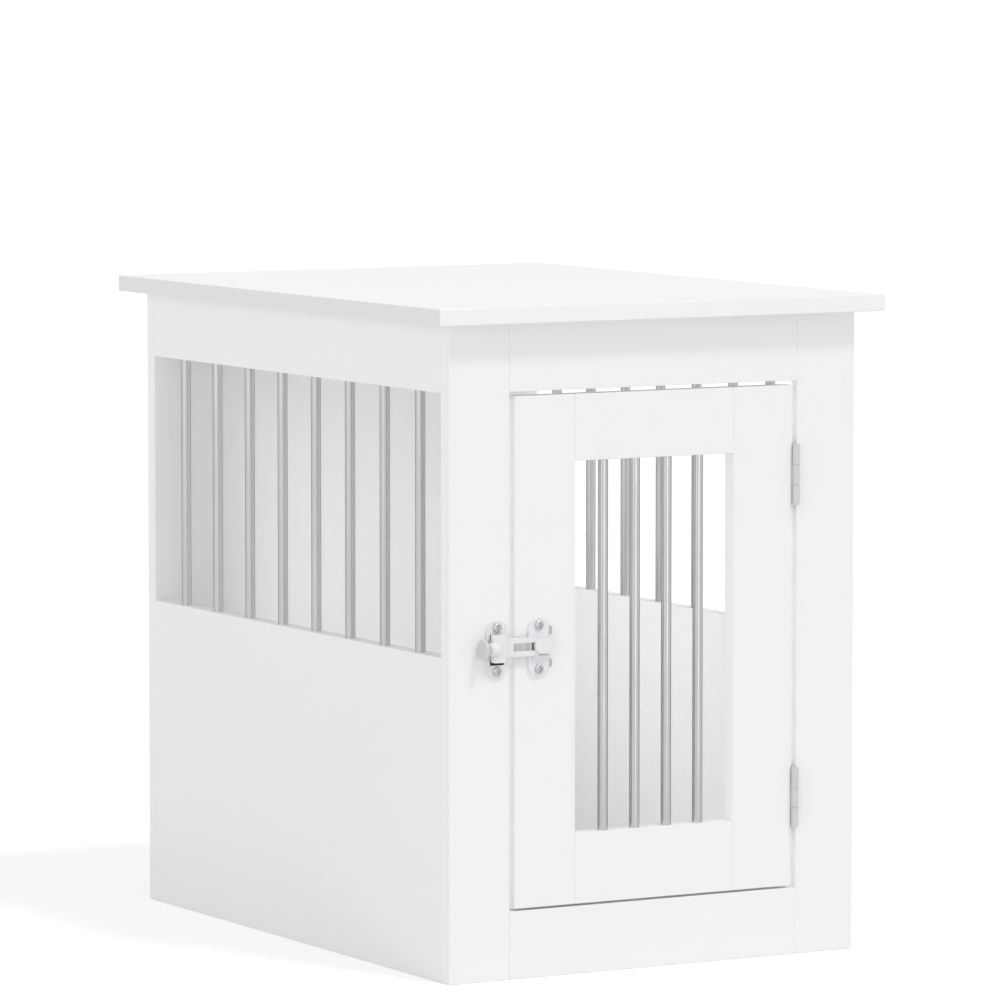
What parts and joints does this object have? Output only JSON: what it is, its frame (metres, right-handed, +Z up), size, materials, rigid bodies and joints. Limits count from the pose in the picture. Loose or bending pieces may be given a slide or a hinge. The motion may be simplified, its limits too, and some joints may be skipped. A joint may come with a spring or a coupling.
{
  "type": "dog crate end table",
  "caption": "White end table with an overhanging top whose case is a dog crate, with barred side windows, a barred hinged door and a slide latch.",
  "frame": {"origin": "on the floor under the middle of the table top", "axes": "+Z up, +Y from the door to the back panel, +X to the right as seen from the front"},
  "size_m": [0.454, 0.62, 0.589],
  "materials": {
    "white_board": "white laminated board, satin",
    "steel_bar": "round steel bar, satin",
    "hinge_metal": "light grey painted steel",
    "latch_metal": "white painted die casting, satin",
    "plated_steel": "zinc plated",
    "cam_metal": "die cast, matt",
    "black_pad": "matt black",
    "dowel_wood": "plain beech"
  },
  "bodies": {
    "case": {"back_panel": "white_board", "floor_dowels": "dowel_wood", "floor_panel": "white_board", "front_bottom_rail": "white_board", "front_frame_dowels": "dowel_wood", "front_left_stile": "white_board", "front_right_stile": "white_board", "front_top_rail": "white_board", "hinge_frame_screws": "hinge_metal", "latch_base": "latch_metal", "latch_base_pads": "black_pad", "latch_base_screws": "plated_steel", "left_bar_1": "steel_bar", "left_bar_2": "steel_bar", "left_bar_3": "steel_bar", "left_bar_4": "steel_bar", "left_bar_5": "steel_bar", "left_bar_6": "steel_bar", "left_bar_7": "steel_bar", "left_bar_8": "steel_bar", "left_cam_bolts": "plated_steel", "left_cam_locks": "cam_metal", "left_lower_panel": "white_board", "left_top_rail": "white_board", "lower_hinge_frame_leaf": "hinge_metal", "lower_hinge_pin": "hinge_metal", "right_bar_1": "steel_bar", "right_bar_2": "steel_bar", "right_bar_3": "steel_bar", "right_bar_4": "steel_bar", "right_bar_5": "steel_bar", "right_bar_6": "steel_bar", "right_bar_7": "steel_bar", "right_bar_8": "steel_bar", "right_cam_bolts": "plated_steel", "right_cam_locks": "cam_metal", "right_lower_panel": "white_board", "right_top_rail": "white_board", "top_dowels": "dowel_wood", "top_panel": "white_board", "upper_hinge_frame_leaf": "hinge_metal", "upper_hinge_pin": "hinge_metal"},
    "door": {"door_bar_1": "steel_bar", "door_bar_2": "steel_bar", "door_bar_3": "steel_bar", "door_bar_4": "steel_bar", "door_bottom_rail": "white_board", "door_dowels": "dowel_wood", "door_left_stile": "white_board", "door_right_stile": "white_board", "door_top_rail": "white_board", "hinge_door_screws": "hinge_metal", "latch_keeper": "latch_metal", "latch_keeper_pad": "black_pad", "latch_keeper_screws": "plated_steel", "lower_hinge_door_leaf": "hinge_metal", "upper_hinge_door_leaf": "hinge_metal"},
    "latch": {"latch_slider": "latch_metal", "latch_knob": "latch_metal"}
  },
  "joints": [
    {"name": "door_hinge", "type": "hinge", "parent": "case", "child": "door", "pos_m": [0.1445, -0.2925, 0.286], "axis": [0, 0, 1], "range_deg": [0, 180]},
    {"name": "latch_slide", "type": "slide", "parent": "case", "child": "latch", "axis": [-1, 0, 0], "range_m": [0, 0.0225]}
  ]
}
